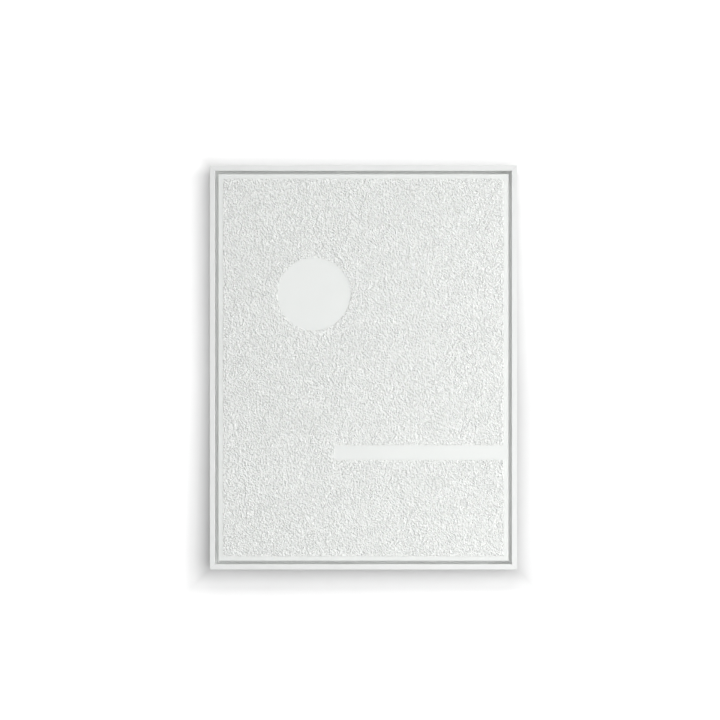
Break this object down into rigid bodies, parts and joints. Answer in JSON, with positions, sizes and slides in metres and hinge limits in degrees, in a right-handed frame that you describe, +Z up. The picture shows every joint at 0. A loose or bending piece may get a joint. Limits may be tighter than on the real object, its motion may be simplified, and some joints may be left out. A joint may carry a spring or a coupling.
{
  "type": "floating canvas frame",
  "caption": "White tray frame that holds a stretched, plaster-textured canvas with a shadow gap all round and hangs from hinged rings on its back.",
  "frame": {"origin": "middle of the frame's outline on the wall plane, which the wall bumpers rest against", "axes": "+Z up, +X to the right as seen from the front, +Y into the wall; the front faces -Y"},
  "size_m": [0.6352, 0.038, 0.8352],
  "materials": {
    "frame_paint": "satin white paint on wood",
    "pine": "planed bare pine",
    "beech": "sawn bare beech",
    "primed_canvas": "white primed cotton duck, raw on its back",
    "plaster": "matt white textured plaster",
    "nail_steel": "plain strip steel",
    "staple_steel": "galvanised wire",
    "zinc_screws": "bright zinc plate",
    "hanger_steel": "nickel plate",
    "ring_steel": "nickel plate",
    "bumper": "soft grey rubber"
  },
  "bodies": {
    "root": {"frame_top_rail": "frame_paint", "frame_right_rail": "frame_paint", "frame_bottom_rail": "frame_paint", "frame_left_rail": "frame_paint", "corner_v_nails": "nail_steel", "stretcher_top_bar": "pine", "stretcher_right_bar": "pine", "stretcher_bottom_bar": "pine", "stretcher_left_bar": "pine", "stretcher_cross_bar": "pine", "corner_keys": "beech", "cross_bar_keys": "beech", "canvas_cloth": "primed_canvas", "canvas_staples": "staple_steel", "plaster_coat": "plaster", "canvas_fixing_screws": "zinc_screws", "hanger_strap_left": "hanger_steel", "hanger_strap_right": "hanger_steel", "hanger_screws": "zinc_screws", "wall_bumper_left": "bumper", "wall_bumper_right": "bumper"},
    "ring_left": {"hanger_ring_left": "ring_steel"},
    "ring_right": {"hanger_ring_right": "ring_steel"}
  },
  "joints": [
    {"name": "ring_left_swing", "type": "hinge", "parent": "root", "child": "ring_left", "pos_m": [-0.2988, -0.00292, 0.2088], "axis": [-1, 0, 0], "range_deg": [0, 178.4]},
    {"name": "ring_right_swing", "type": "hinge", "parent": "root", "child": "ring_right", "pos_m": [0.2988, -0.00292, 0.2088], "axis": [-1, 0, 0], "range_deg": [0, 178.4]}
  ]
}
